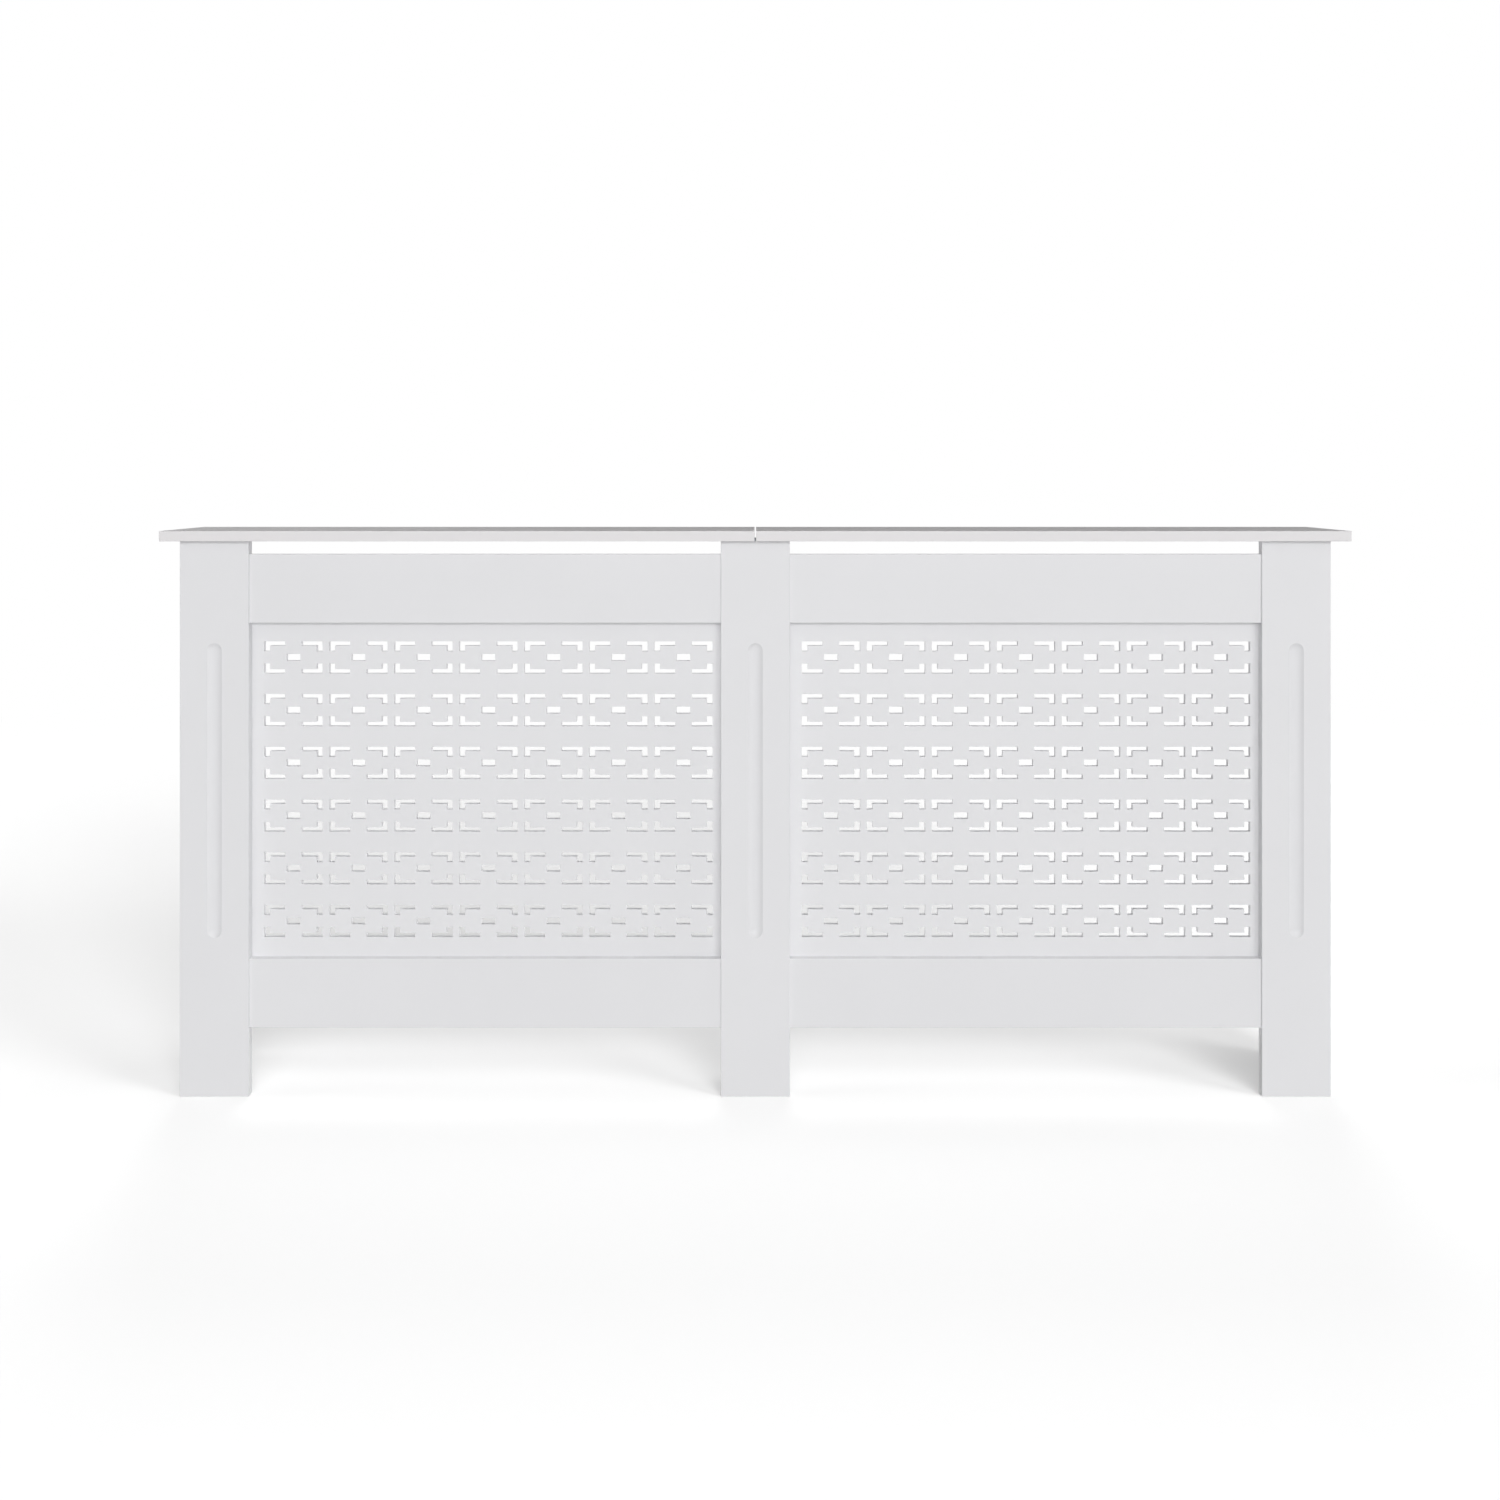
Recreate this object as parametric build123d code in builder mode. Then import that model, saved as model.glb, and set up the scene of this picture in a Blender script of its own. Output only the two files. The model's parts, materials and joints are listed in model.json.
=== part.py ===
from build123d import *

import os

# A free-standing radiator cover cabinet in painted MDF, in millimetres.
# Its front is three fluted posts with an upper and a lower rail in each of two bays, and a
# perforated grille board screwed on behind each pair of rails. Two end panels carry it back to
# the wall, and two top boards meet over the centre post.
# The origin is on the floor at the middle of the cover. +X is to the right, seen from the
# front, +Y goes back to the wall and +Z is up.

# Overall size, over the top boards.
overall_width = 1720.0
overall_depth = 190.0
overall_height = 820.0

# Top boards: how far they stand past the posts in front and past the end panels at the sides,
# and the open joint between them.
top_thickness = 15.0
front_overhang = 12.0
side_overhang = 26.0
top_joint_gap = 2.4

# End panels, with a notch at the foot that clears the room's skirting board.
end_panel_thickness = 15.0
notch_height = 100.0
notch_depth = 15.0

# Front posts, each with one routed flute whose cutter leaves a shallow round trough.
post_width = 100.0
post_thickness = 15.0
flute_width = 21.5
flute_depth = 4.0
flute_bottom_margin = 31.0
flute_top_margin = 29.0

# Rails. They are thinner than the posts and flush with the posts' backs, so they sit back a
# little from the posts' faces.
rail_thickness = 12.0
upper_rail_height = 100.0
lower_rail_height = 100.0
floor_gap = 99.0
air_slot_height = 19.0

# Grille boards, which lie behind the rails and posts and reach past the opening all round.
grille_thickness = 9.0
grille_overlap = 20.0

# One unit of the grille pattern: four L-shaped cut-outs that turn their corners outwards, round
# a short bar. Units repeat as often as the opening holds them.
unit_width = 85.0
unit_height = 46.7
unit_gap_x = 9.8
unit_gap_z = 30.2
arm_length = 30.5
arm_height = 6.2
leg_width = 8.4
leg_height = 14.4
bar_width = 20.0
bar_height = 9.8
pattern_side_margin = 12.0
pattern_end_margin = 24.0
pattern_shift = 2.75

# Soft edges on the boards: the sanded arris under the paint.
board_arris = 1.0

# Wooden dowels: the slim ones join the rails to the posts and the posts to the top boards, and
# the thick ones join the end panels to the posts and the top boards.
slim_dowel_diameter = 6.0
slim_dowel_length = 30.0
slim_dowel_depth_in_top = 10.0
rail_dowel_spacing = 60.0
post_dowel_spacing = 72.0
thick_dowel_diameter = 8.0
thick_dowel_length = 30.0
thick_dowel_face_depth = 10.0
top_dowel_spacing = 40.0
post_joint_dowel_spacing = 400.0
dowel_chamfer = 0.8

# Cam locks in the inner faces of the end panels, and the bolts that they draw in. cam_skin is
# the board left behind a cam, and cam_wall is the cam's own wall round its hollow.
cam_diameter = 15.0
cam_skin = 2.5
cam_setback = 24.0
cam_wall = 2.3
cam_inner_clearance = 0.2
cam_cross_length = 8.0
cam_cross_width = 1.6
cam_cross_depth = 1.5
bolt_head_diameter = 7.0
bolt_neck_diameter = 4.0
bolt_shank_diameter = 6.4
bolt_thread_diameter = 6.0
bolt_thread_length = 11.0
bolt_thread_pitch = 1.5
top_cam_spacing = 90.0
post_cam_end_distance = 60.0

# Wood screws: countersunk ones hold the grille boards, and pan-head ones hold the steel.
screw_diameter = 3.5
screw_core_diameter = 2.6
screw_pitch = 1.6
screw_point_length = 3.0
screw_head_diameter = 7.0
screw_head_height = 2.3
screw_head_rim = 0.4
screw_recess_length = 3.8
screw_recess_width = 0.9
screw_recess_depth = 1.4
grille_screw_length = 16.0
grille_screw_inset = 10.0
grille_screw_corner_distance = 60.0
grille_screw_spacing = 210.0
pan_head_diameter = 7.0
pan_head_height = 2.2
bracket_screw_length = 12.0

# Flat steel plates that tie the two top boards together under the joint.
joint_plate_length = 100.0
joint_plate_width = 20.0
joint_plate_thickness = 2.0
joint_plate_corner = 3.0
joint_plate_hole_spacing = 24.0
joint_plate_end_distance = 12.0
front_plate_gap = 12.0
rear_plate_wall_distance = 55.0

# Steel angles behind the head of the centre post.
post_angle_leg = 30.0
post_angle_width = 18.0
post_angle_thickness = 2.0
post_angle_bend = 2.0
post_angle_hole_end_distance = 10.0
post_angle_spacing = 32.0

# Steel angles that hold the cover to the wall. They stand where the posts hide them from the
# front: one beside each end panel, and one each side of the joint in the top.
wall_angle_leg = 40.0
wall_angle_width = 25.0
wall_angle_thickness = 2.0
wall_angle_bend = 2.5
wall_hole_diameter = 5.0
wall_hole_end_distance = 15.0
wall_screw_end_distance = 10.0
wall_screw_spacing = 16.0
wall_angle_panel_distance = 17.0
inner_wall_angle_spacing = 60.0
angle_corner = 2.5

# Fits. Radial clearance of round pieces in their bores, spare depth past their ends, and the
# clearance of a screw in a steel plate.
bore_clearance = 0.05
bore_end_clearance = 0.5
plate_hole_clearance = 0.35

# Planes and heights that the pieces share.
wall_y = overall_depth / 2
top_front_y = -overall_depth / 2
post_front_y = top_front_y + front_overhang
post_back_y = post_front_y + post_thickness
post_middle_y = post_front_y + post_thickness / 2
rail_middle_y = post_back_y - rail_thickness / 2
grille_back_y = post_back_y + grille_thickness
body_height = overall_height - top_thickness
body_half_width = overall_width / 2 - side_overhang
end_panel_depth = wall_y - post_back_y
end_panel_middle_y = (post_back_y + wall_y) / 2
end_panel_middle_x = body_half_width - end_panel_thickness / 2
end_panel_inner_x = body_half_width - end_panel_thickness
outer_post_x = body_half_width - post_width / 2
bay_width = body_half_width - 1.5 * post_width
bay_middle_x = (post_width + bay_width) / 2
window_bottom = floor_gap + lower_rail_height
window_top = body_height - air_slot_height - upper_rail_height
window_height = window_top - window_bottom
window_middle_z = (window_bottom + window_top) / 2
grille_width = bay_width + 2 * grille_overlap
grille_height = window_height + 2 * grille_overlap
cam_height = end_panel_thickness - cam_skin
rail_heights = {"upper": upper_rail_height, "lower": lower_rail_height}
rail_middles = {
    "upper": window_top + upper_rail_height / 2,
    "lower": floor_gap + lower_rail_height / 2,
}

# Positions along the joints.
post_cam_heights = (
    post_cam_end_distance,
    body_height / 2,
    body_height - post_cam_end_distance,
)
post_joint_dowel_heights = (
    body_height / 2 - post_joint_dowel_spacing / 2,
    body_height / 2 + post_joint_dowel_spacing / 2,
)
top_cam_depths = (
    end_panel_middle_y - top_cam_spacing / 2,
    end_panel_middle_y + top_cam_spacing / 2,
)
top_dowel_depths = (
    end_panel_middle_y - top_dowel_spacing / 2,
    end_panel_middle_y + top_dowel_spacing / 2,
)
post_dowel_offsets = (-post_dowel_spacing / 2, post_dowel_spacing / 2)
front_plate_y = post_back_y + post_angle_leg + front_plate_gap + joint_plate_width / 2
rear_plate_y = wall_y - rear_plate_wall_distance
post_angle_hole_distance = post_angle_leg - post_angle_hole_end_distance
wall_hole_drop = wall_angle_leg - wall_hole_end_distance
wall_screw_distances = (
    wall_angle_leg - wall_screw_end_distance - wall_screw_spacing,
    wall_angle_leg - wall_screw_end_distance,
)
joint_plate_hole_offsets = (
    -joint_plate_length / 2 + joint_plate_end_distance,
    -joint_plate_hole_spacing / 2,
    joint_plate_hole_spacing / 2,
    joint_plate_length / 2 - joint_plate_end_distance,
)

# Directions that a bore can open to.
left, right = (-1, 0, 0), (1, 0, 0)
forward, back = (0, -1, 0), (0, 1, 0)
down, up = (0, 0, -1), (0, 0, 1)
sides = {"left": -1, "right": 1}


def opposite(direction):
    """The direction that points the other way."""
    return tuple(-part for part in direction)


def facing(points, outward):
    """Places on a surface at the points, looking outwards."""
    return Locations(*[Plane(origin=point, z_dir=outward) for point in points])


def drill(points, outward, diameter, depth):
    """Round blind bores, a running clearance wider than what goes in them."""
    with facing(points, outward):
        Hole(radius=diameter / 2 + bore_clearance, depth=depth + bore_end_clearance)


def save(piece, name):
    """Names a finished piece and writes it to its own file."""
    piece.part.label = name
    export_step(piece.part, f"parts/{name}.step")


# ---------------------------------------------------------------------------------------------
# Where each kind of fastener goes. The boards are drilled from these lists, and the fasteners
# are placed by the same ones.


def rail_dowel_points(side, rail_middle_z, end):
    """Dowel points on one end face of a rail: end is -1 at its left and 1 at its right."""
    x = side * bay_middle_x + end * bay_width / 2
    heights = (rail_middle_z - rail_dowel_spacing / 2, rail_middle_z + rail_dowel_spacing / 2)
    return [(x, rail_middle_y, z) for z in heights]


def post_dowel_points(post_x):
    """Dowel points on the head of a post."""
    return [(post_x + offset, post_middle_y, body_height) for offset in post_dowel_offsets]


def panel_front_points(side, heights):
    """Points on the front edge of an end panel."""
    return [(side * end_panel_middle_x, post_back_y, z) for z in heights]


def panel_top_points(side, depths):
    """Points on the top edge of an end panel."""
    return [(side * end_panel_middle_x, y, body_height) for y in depths]


def post_cam_points(side):
    """Centres of the cams that draw a post back, on the inner face of the end panel."""
    x = side * end_panel_inner_x
    return [(x, post_back_y + cam_setback, z) for z in post_cam_heights]


def top_cam_points(side):
    """Centres of the cams that draw a top board down, on the inner face of the end panel."""
    x = side * end_panel_inner_x
    return [(x, y, body_height - cam_setback) for y in top_cam_depths]


def spread(reach, spacing):
    """Values from -reach to reach, evenly spaced and about spacing apart."""
    steps = round(2 * reach / spacing)
    return [-reach + 2 * reach * step / steps for step in range(steps + 1)]


def grille_screw_points(side):
    """Screw points on the back of a grille board, all inside its overlap."""
    middle_x = side * bay_middle_x
    half_width = grille_width / 2
    half_height = grille_height / 2
    reach = half_width - grille_screw_corner_distance
    rise = half_height - grille_screw_corner_distance
    points = []
    for end in (-1, 1):
        z = window_middle_z + end * (half_height - grille_screw_inset)
        for offset in spread(reach, grille_screw_spacing):
            points.append((middle_x + offset, grille_back_y, z))
        x = middle_x + end * (half_width - grille_screw_inset)
        for offset in spread(rise, grille_screw_spacing):
            points.append((x, grille_back_y, window_middle_z + offset))
    return points


def joint_plate_points(plate_y):
    """Screw points on the underside of the top boards for one joint plate."""
    return [(x, plate_y, body_height) for x in joint_plate_hole_offsets]


def post_angle_top_points():
    """Screw points of the centre post's angles, on the underside of the top boards."""
    y = post_back_y + post_angle_hole_distance
    return [(side * post_angle_spacing / 2, y, body_height) for side in (-1, 1)]


def post_angle_post_points():
    """Screw points of the centre post's angles, on the back of the post."""
    z = body_height - post_angle_hole_distance
    return [(side * post_angle_spacing / 2, post_back_y, z) for side in (-1, 1)]


def wall_angle_places(side):
    """The outer and the inner wall angle of one top board."""
    return {
        "outer": side * (end_panel_inner_x - wall_angle_panel_distance),
        "inner": side * inner_wall_angle_spacing / 2,
    }


def wall_angle_points(side):
    """Screw points of the wall angles, on the underside of one top board."""
    return [
        (x, wall_y - distance, body_height)
        for x in wall_angle_places(side).values()
        for distance in wall_screw_distances
    ]


# ---------------------------------------------------------------------------------------------
# Boards.


def top_board(side):
    """One half of the shelf on top, with a soft arris on its front and outer edges."""
    board_width = overall_width / 2 - top_joint_gap / 2
    middle_x = side * (top_joint_gap / 2 + board_width / 2)
    with BuildPart() as board:
        with Locations((middle_x, 0, body_height + top_thickness / 2)):
            Box(board_width, overall_depth, top_thickness)
        at_wall = board.faces().sort_by(Axis.Y)[-1].edges()
        at_joint = board.faces().sort_by(Axis.X)[0 if side > 0 else -1].edges()
        square_edges = at_wall + at_joint
        fillet([edge for edge in board.edges() if edge not in square_edges], board_arris)
        drill(panel_top_points(side, top_cam_depths), down, bolt_thread_diameter, bolt_thread_length)
        drill(
            panel_top_points(side, top_dowel_depths),
            down,
            thick_dowel_diameter,
            thick_dowel_face_depth,
        )
        post_heads = post_dowel_points(side * outer_post_x)
        post_heads += [point for point in post_dowel_points(0) if point[0] * side > 0]
        drill(post_heads, down, slim_dowel_diameter, slim_dowel_depth_in_top)
        plate_points = joint_plate_points(front_plate_y) + joint_plate_points(rear_plate_y)
        for points, steel_thickness in (
            (wall_angle_points(side), wall_angle_thickness),
            (post_angle_top_points(), post_angle_thickness),
            (plate_points, joint_plate_thickness),
        ):
            own_points = [point for point in points if point[0] * side > 0]
            drill(own_points, down, screw_diameter, bracket_screw_length - steel_thickness)
    return board


def end_panel(side):
    """One end panel, from the back of the outer post to the wall."""
    inward = opposite((side, 0, 0))
    with BuildPart() as panel:
        with Locations((side * end_panel_middle_x, end_panel_middle_y, body_height / 2)):
            Box(end_panel_thickness, end_panel_depth, body_height)
        outer_face = panel.faces().sort_by(Axis.X)[-1 if side > 0 else 0]
        fillet(outer_face.edges().filter_by(Axis.Z), board_arris)
        with Locations((side * end_panel_middle_x, wall_y, 0)):
            Box(
                2 * end_panel_thickness,
                2 * notch_depth,
                2 * notch_height,
                mode=Mode.SUBTRACT,
            )
        shank_depth = cam_setback - bore_end_clearance
        drill(
            panel_front_points(side, post_cam_heights), forward, bolt_shank_diameter, shank_depth
        )
        drill(panel_top_points(side, top_cam_depths), up, bolt_shank_diameter, shank_depth)
        dowel_depth = thick_dowel_length - thick_dowel_face_depth
        drill(
            panel_front_points(side, post_joint_dowel_heights),
            forward,
            thick_dowel_diameter,
            dowel_depth,
        )
        drill(panel_top_points(side, top_dowel_depths), up, thick_dowel_diameter, dowel_depth)
        cam_points = post_cam_points(side) + top_cam_points(side)
        drill(cam_points, inward, cam_diameter, cam_height)
    return panel


def front_post(side):
    """One fluted post: side is -1 at the left, 0 in the middle and 1 at the right."""
    post_x = side * outer_post_x
    with BuildPart() as post:
        with Locations((post_x, post_middle_y, body_height / 2)):
            Box(post_width, post_thickness, body_height)
        front_face = post.faces().sort_by(Axis.Y)[0]
        fillet(front_face.edges().filter_by(Axis.Z), board_arris)

        # The flute is a capsule of the cutter's radius, sunk to the flute's depth.
        cutter_radius = (flute_width**2 / 4 + flute_depth**2) / (2 * flute_depth)
        cutter_y = post_front_y + flute_depth - cutter_radius
        end_bottom = window_bottom + flute_bottom_margin + flute_width / 2
        end_top = window_top - flute_top_margin - flute_width / 2
        with Locations((post_x, cutter_y, (end_bottom + end_top) / 2)):
            Cylinder(cutter_radius, end_top - end_bottom, mode=Mode.SUBTRACT)
        with Locations((post_x, cutter_y, end_bottom), (post_x, cutter_y, end_top)):
            Sphere(cutter_radius, mode=Mode.SUBTRACT)

        drill(
            post_dowel_points(post_x),
            up,
            slim_dowel_diameter,
            slim_dowel_length - slim_dowel_depth_in_top,
        )
        for middle_z in rail_middles.values():
            for bay in sides.values():
                for end, outward in ((-1, right), (1, left)):
                    points = rail_dowel_points(bay, middle_z, end)
                    if abs(points[0][0] - post_x) < post_width:
                        drill(points, outward, slim_dowel_diameter, slim_dowel_length / 2)

        # Pilot bores of the grille boards' screws that land on this post.
        grille_points = grille_screw_points(-1) + grille_screw_points(1)
        on_post = [
            (x, post_back_y, z) for x, y, z in grille_points if abs(x - post_x) < post_width / 2
        ]
        drill(on_post, back, screw_diameter, grille_screw_length - grille_thickness)

        if side:
            drill(
                panel_front_points(side, post_cam_heights),
                back,
                bolt_thread_diameter,
                bolt_thread_length,
            )
            drill(
                panel_front_points(side, post_joint_dowel_heights),
                back,
                thick_dowel_diameter,
                thick_dowel_face_depth,
            )
        else:
            drill(
                post_angle_post_points(),
                back,
                screw_diameter,
                bracket_screw_length - post_angle_thickness,
            )
    return post


def rail(side, middle_z, height):
    """One rail between two posts, flush with their backs."""
    with BuildPart() as board:
        with Locations((side * bay_middle_x, rail_middle_y, middle_z)):
            Box(bay_width, rail_thickness, height)
        front_face = board.faces().sort_by(Axis.Y)[0]
        fillet(front_face.edges().filter_by(Axis.X), board_arris)
        for end, outward in ((-1, left), (1, right)):
            points = rail_dowel_points(side, middle_z, end)
            drill(points, outward, slim_dowel_diameter, slim_dowel_length / 2)
        on_rail = [
            (x, post_back_y, z)
            for x, y, z in grille_screw_points(side)
            if abs(z - middle_z) < height / 2 and abs(x - side * bay_middle_x) < bay_width / 2
        ]
        drill(on_rail, back, screw_diameter, grille_screw_length - grille_thickness)
    return board


def pattern_unit():
    """The cut-outs of one unit of the grille pattern, centred on the origin."""
    with BuildSketch() as unit:
        Rectangle(bar_width, bar_height)
        for across in (-1, 1):
            for along in (-1, 1):
                outer_x = across * unit_width / 2
                outer_z = along * unit_height / 2
                arm_end_x = outer_x - across * arm_length
                arm_inner_z = outer_z - along * arm_height
                leg_inner_x = outer_x - across * leg_width
                leg_end_z = outer_z - along * leg_height
                with BuildLine():
                    Polyline(
                        (outer_x, outer_z),
                        (arm_end_x, outer_z),
                        (arm_end_x, arm_inner_z),
                        (leg_inner_x, arm_inner_z),
                        (leg_inner_x, leg_end_z),
                        (outer_x, leg_end_z),
                        close=True,
                    )
                make_face()
    return unit.sketch


def screw_head_seat():
    """The hollow that a flat screw head sinks into, from the origin down."""
    rim_radius = screw_head_diameter / 2 + bore_clearance
    with BuildPart() as seat:
        Cylinder(rim_radius, 2 * screw_head_rim)
        with Locations((0, 0, -screw_head_rim)):
            Cone(
                screw_core_diameter / 2 + bore_clearance,
                rim_radius,
                screw_head_height - screw_head_rim,
                align=(Align.CENTER, Align.CENTER, Align.MAX),
            )
    return seat.part


def grille_panel(side):
    """One perforated board, with its pattern of cut-outs and its countersunk screw holes."""
    pitch_x = unit_width + unit_gap_x
    pitch_z = unit_height + unit_gap_z
    room_x = bay_width - 2 * pattern_side_margin - unit_width
    room_z = window_height - 2 * pattern_end_margin - unit_height
    columns = int(room_x / pitch_x) + 1
    rows = int(room_z / pitch_z) + 1
    front = Plane(
        origin=(side * bay_middle_x, post_back_y, window_middle_z),
        x_dir=right,
        z_dir=forward,
    )
    screw_points = grille_screw_points(side)
    screw_holes = [front.to_local_coords(Vector(point)) for point in screw_points]
    unit = pattern_unit()
    seat = screw_head_seat()
    with BuildPart() as board:
        with BuildSketch(front):
            Rectangle(grille_width, grille_height)
            with Locations((pattern_shift, 0)):
                with GridLocations(pitch_x, pitch_z, columns, rows):
                    add(unit, mode=Mode.SUBTRACT)
            with Locations(*[(hole.X, hole.Y) for hole in screw_holes]):
                Circle(screw_diameter / 2 + plate_hole_clearance, mode=Mode.SUBTRACT)
        extrude(amount=-grille_thickness)
        with facing(screw_points, back):
            add(seat, mode=Mode.SUBTRACT)
    return board


# ---------------------------------------------------------------------------------------------
# Fasteners, each made once at the origin and then placed.


def thread_outline(start, end, pitch, crest_radius, core_radius):
    """Zigzag points of a thread's section along its axis, from start to end."""
    turns = int(abs(end - start) / pitch)
    step = (end - start) / turns
    points = []
    for turn in range(turns):
        points.append((core_radius, start + turn * step))
        points.append((crest_radius, start + (turn + 0.5) * step))
    points.append((core_radius, end))
    return points


def cross_recess(length, width, depth):
    """A driver's cross, cut down from the origin."""
    Box(length, width, 2 * depth, mode=Mode.SUBTRACT)
    Box(width, length, 2 * depth, mode=Mode.SUBTRACT)


def countersunk_screw(length):
    """A wood screw with a flat head. Its head's face is at the origin and it points down."""
    head_radius = screw_head_diameter / 2
    core_radius = screw_core_diameter / 2
    thread = thread_outline(
        -screw_head_height,
        -length + screw_point_length,
        screw_pitch,
        screw_diameter / 2,
        core_radius,
    )
    with BuildPart() as screw:
        with BuildSketch(Plane.XZ):
            with BuildLine():
                outline = [(0, 0), (head_radius, 0), (head_radius, -screw_head_rim)]
                Polyline(*outline, *thread, (0, -length), close=True)
            make_face()
        revolve(axis=Axis.Z)
        cross_recess(screw_recess_length, screw_recess_width, screw_recess_depth)
    return screw.part


def pan_head_screw(length):
    """A wood screw with a domed head. Its head's seat is at the origin and it points down."""
    head_radius = pan_head_diameter / 2
    core_radius = screw_core_diameter / 2
    thread = thread_outline(
        0, -length + screw_point_length, screw_pitch, screw_diameter / 2, core_radius
    )
    with BuildPart() as screw:
        with BuildSketch(Plane.XZ):
            with BuildLine():
                crown = Line((0, pan_head_height), (head_radius - pan_head_height, pan_head_height))
                TangentArc(crown @ 1, (head_radius, 0), tangent=crown % 1)
                Polyline((head_radius, 0), *thread, (0, -length), (0, pan_head_height))
            make_face()
        revolve(axis=Axis.Z)
        with Locations((0, 0, pan_head_height)):
            cross_recess(screw_recess_length, screw_recess_width, screw_recess_depth)
    return screw.part


def cam_lock():
    """A cam lock. Its face is at the origin and looks up, and its bolt comes in along +X."""
    hollow_height = bolt_head_diameter + 2 * cam_inner_clearance
    with BuildPart() as cam:
        Cylinder(cam_diameter / 2, cam_height, align=(Align.CENTER, Align.CENTER, Align.MAX))
        with Locations((0, 0, -end_panel_thickness / 2)):
            Cylinder(cam_diameter / 2 - cam_wall, hollow_height, mode=Mode.SUBTRACT)
            Box(
                cam_diameter,
                bolt_neck_diameter + 2 * cam_inner_clearance,
                hollow_height,
                align=(Align.MIN, Align.CENTER, Align.CENTER),
                mode=Mode.SUBTRACT,
            )
        cross_recess(cam_cross_length, cam_cross_width, cam_cross_depth)
    return cam.part


def cam_bolt():
    """The bolt of a cam lock. Its head is cam_setback below the origin and its thread above."""
    head_radius = bolt_head_diameter / 2
    neck_radius = bolt_neck_diameter / 2
    shank_radius = bolt_shank_diameter / 2
    shank_start = cam_diameter / 2 + bore_end_clearance - cam_setback
    thread_radius = bolt_thread_diameter / 2
    core_radius = thread_radius - bolt_thread_pitch / 2
    with BuildPart() as bolt:
        with Locations((0, 0, -cam_setback)):
            Sphere(head_radius)
            Cylinder(
                neck_radius,
                shank_start + cam_setback,
                align=(Align.CENTER, Align.CENTER, Align.MIN),
            )
        with Locations((0, 0, shank_start)):
            Cylinder(
                shank_radius, -shank_start, align=(Align.CENTER, Align.CENTER, Align.MIN)
            )
        thread = thread_outline(
            0, bolt_thread_length, bolt_thread_pitch, thread_radius, core_radius
        )
        with BuildSketch(Plane.XZ):
            with BuildLine():
                Polyline((0, 0), *thread, (0, bolt_thread_length), close=True)
            make_face()
        revolve(axis=Axis.Z)
    return bolt.part


def dowel(diameter, length, depth_below):
    """A wooden dowel with chamfered ends, from depth_below under the origin upwards."""
    with BuildPart() as pin:
        with Locations((0, 0, length / 2 - depth_below)):
            Cylinder(diameter / 2, length)
        chamfer(pin.edges().filter_by(GeomType.CIRCLE), dowel_chamfer)
    return pin.part


def placed(piece, groups):
    """Copies of a piece as separate solids of one group, at each set of points and direction."""
    with BuildPart() as group:
        for points, outward in groups:
            with facing(points, outward):
                add(piece)
    return group


def rail_dowels(side):
    """The dowels at both ends of both rails in one bay."""
    pin = dowel(slim_dowel_diameter, slim_dowel_length, slim_dowel_length / 2)
    groups = []
    for middle_z in rail_middles.values():
        groups.append((rail_dowel_points(side, middle_z, -1), left))
        groups.append((rail_dowel_points(side, middle_z, 1), right))
    return placed(pin, groups)


def post_head_dowels():
    """The dowels between the heads of all three posts and the top boards."""
    pin = dowel(
        slim_dowel_diameter, slim_dowel_length, slim_dowel_length - slim_dowel_depth_in_top
    )
    points = []
    for post_x in (-outer_post_x, 0, outer_post_x):
        points += post_dowel_points(post_x)
    return placed(pin, [(points, up)])


def end_panel_dowels(side):
    """The dowels from an end panel into its post and its top board."""
    pin = dowel(
        thick_dowel_diameter, thick_dowel_length, thick_dowel_length - thick_dowel_face_depth
    )
    return placed(
        pin,
        [
            (panel_front_points(side, post_joint_dowel_heights), forward),
            (panel_top_points(side, top_dowel_depths), up),
        ],
    )


def cam_bolts(side):
    """The cam bolts of one end panel."""
    return placed(
        cam_bolt(),
        [
            (panel_front_points(side, post_cam_heights), forward),
            (panel_top_points(side, top_cam_depths), up),
        ],
    )


def cam_locks(side):
    """The cam locks of one end panel, each turned to meet its bolt."""
    inward = opposite((side, 0, 0))
    cam = cam_lock()
    with BuildPart() as group:
        for points, bolt_direction in (
            (post_cam_points(side), forward),
            (top_cam_points(side), up),
        ):
            for point in points:
                with Locations(Plane(origin=point, x_dir=bolt_direction, z_dir=inward)):
                    add(cam)
    return group


def grille_screws(side):
    """The screws that hold one grille board to its rails and posts."""
    return placed(
        countersunk_screw(grille_screw_length), [(grille_screw_points(side), back)]
    )


# ---------------------------------------------------------------------------------------------
# Steel plates and angles.


def joint_plate(plate_y):
    """A flat plate with rounded corners under the joint of the top boards."""
    hole_diameter = screw_diameter + 2 * plate_hole_clearance
    middle_z = body_height - joint_plate_thickness
    with BuildPart() as plate:
        with BuildSketch(Plane(origin=(0, plate_y, middle_z))):
            RectangleRounded(joint_plate_length, joint_plate_width, joint_plate_corner)
            with Locations(*[(x, 0) for x in joint_plate_hole_offsets]):
                Circle(hole_diameter / 2, mode=Mode.SUBTRACT)
        extrude(amount=joint_plate_thickness)
    return plate


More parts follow.
